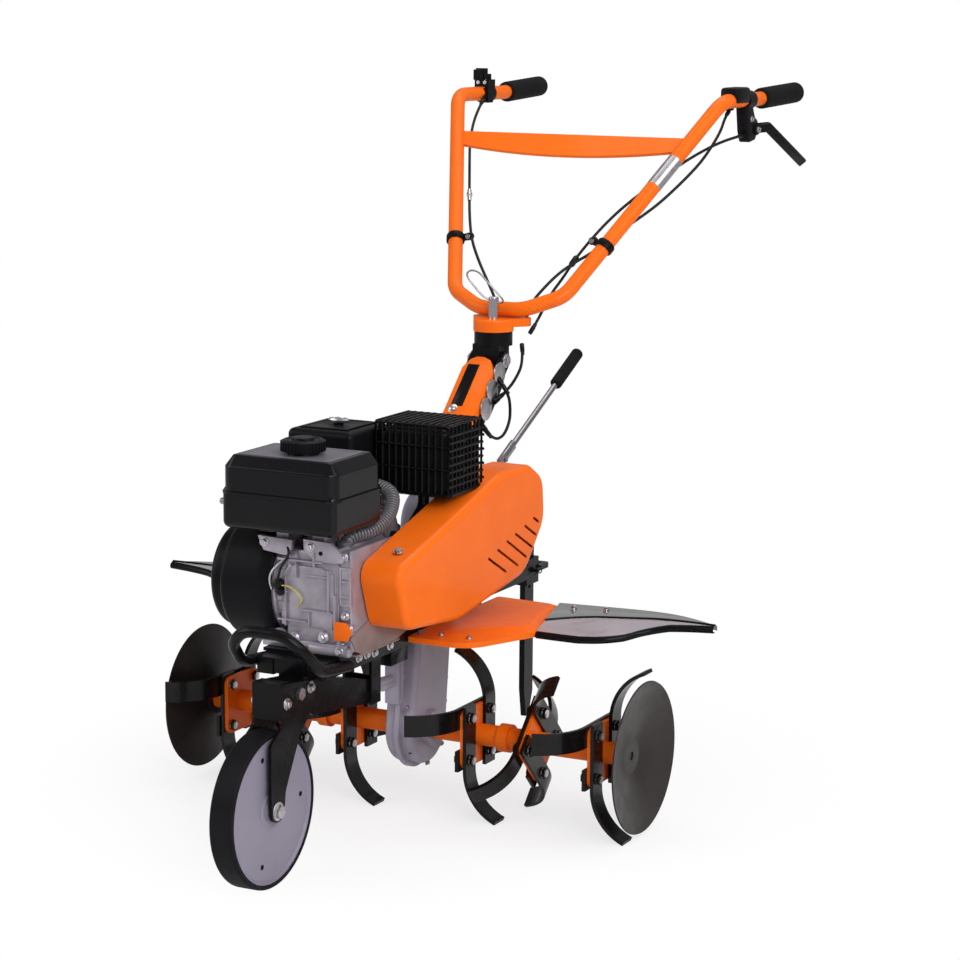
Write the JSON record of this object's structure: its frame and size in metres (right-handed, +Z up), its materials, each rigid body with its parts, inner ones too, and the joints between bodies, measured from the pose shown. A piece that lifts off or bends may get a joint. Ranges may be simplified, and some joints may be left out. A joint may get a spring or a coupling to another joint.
{
  "type": "rotary tiller",
  "caption": "Walk-behind petrol rotary tiller with belt cover, tine rotor, side discs, fenders, folding front wheel and swivelling handlebar",
  "frame": {"origin": "On the ground, at the bottom centre of the bounding box", "axes": "+Z up, +Y to the handlebar at the back, +X to the belt cover side"},
  "size_m": [1.1864, 1.8629, 1.3794],
  "materials": {
    "black_paint": "semi gloss",
    "black_plastic": "matte",
    "bright_steel": "zinc plated",
    "cast_aluminium": "as cast",
    "chrome": "polished",
    "disc_enamel": "high gloss",
    "foam_rubber": "matte",
    "grey_paint": "satin",
    "orange_paint": "gloss",
    "tine_steel": "semi gloss",
    "tyre_rubber": "matte"
  },
  "bodies": {
    "machine": {"air_cleaner": "black_plastic", "arm_pivot_bolt": "bright_steel", "belt_back_plate": "black_paint", "belt_cover": "orange_paint", "blower_housing": "black_plastic", "cable_drop": "black_plastic", "cable_loop": "black_plastic", "column_core": "black_paint", "column_cover": "orange_paint", "crankcase": "cast_aluminium", "cylinder_head": "cast_aluminium", "engine_frame": "black_paint", "fender_inner_left": "orange_paint", "fender_inner_right": "orange_paint", "fender_outer_left": "black_paint", "fender_outer_right": "black_paint", "front_bumper": "black_paint", "fuel_cap": "black_plastic", "fuel_tank": "black_paint", "gear_lever": "chrome", "gear_lever_grip": "foam_rubber", "gearcase": "grey_paint", "height_bolt": "bright_steel", "intake_hose": "black_plastic", "muffler": "black_paint", "muffler_guard": "black_paint", "pull_handle": "black_plastic", "pulley_big": "bright_steel", "recoil_starter": "black_plastic", "stake_holder": "black_paint"},
    "tine_rotor": {"tine_axle": "bright_steel", "tine_carrier_left": "orange_paint", "tine_carrier_right": "orange_paint", "plant_disc_left": "disc_enamel", "plant_disc_right": "disc_enamel", "tine_set_left_1": "tine_steel", "tine_set_left_2": "tine_steel", "tine_set_left_3": "tine_steel", "tine_set_right_1": "tine_steel", "tine_set_right_2": "tine_steel", "tine_set_right_3": "tine_steel"},
    "front_arm": {"wheel_arm": "black_paint", "wheel_axle": "bright_steel"},
    "front_wheel": {"wheel_disc": "grey_paint", "tyre": "tyre_rubber"},
    "stake": {"depth_stake": "black_paint"},
    "head": {"handle_head": "black_paint"},
    "handlebar": {"cable_clutch": "black_plastic", "cable_reverse": "black_plastic", "cable_throttle": "black_plastic", "clamp_bolt": "chrome", "clutch_clamp": "black_plastic", "clutch_lever": "black_paint", "crossbar": "orange_paint", "grip_left": "foam_rubber", "grip_right": "foam_rubber", "handle_clamp": "orange_paint", "handlebar_tube": "orange_paint", "throttle_clamp": "black_plastic"}
  },
  "joints": [
    {"name": "tine_rotor_spin", "type": "hinge", "parent": "machine", "child": "tine_rotor", "pos_m": [0, -0.228, 0.155], "axis": [1, 0, 0], "continuous": true},
    {"name": "wheel_arm_fold", "type": "hinge", "parent": "machine", "child": "front_arm", "pos_m": [0, -0.721, 0.335], "axis": [-1, 0, 0], "range_deg": [0, 75]},
    {"name": "front_wheel_spin", "type": "hinge", "parent": "front_arm", "child": "front_wheel", "pos_m": [0, -0.791, 0.14], "axis": [1, 0, 0], "continuous": true},
    {"name": "handlebar_height", "type": "hinge", "parent": "machine", "child": "head", "pos_m": [0, 0.076, 0.828], "axis": [1, 0, 0], "range_deg": [-20, 15]},
    {"name": "handlebar_swivel", "type": "hinge", "parent": "head", "child": "handlebar", "pos_m": [0, 0.092, 0.884], "axis": [0, 0, 1], "range_deg": [-30, 30]},
    {"name": "stake_slide", "type": "slide", "parent": "machine", "child": "stake", "axis": [0, 0, 1], "range_m": [-0.05, 0.12]}
  ]
}
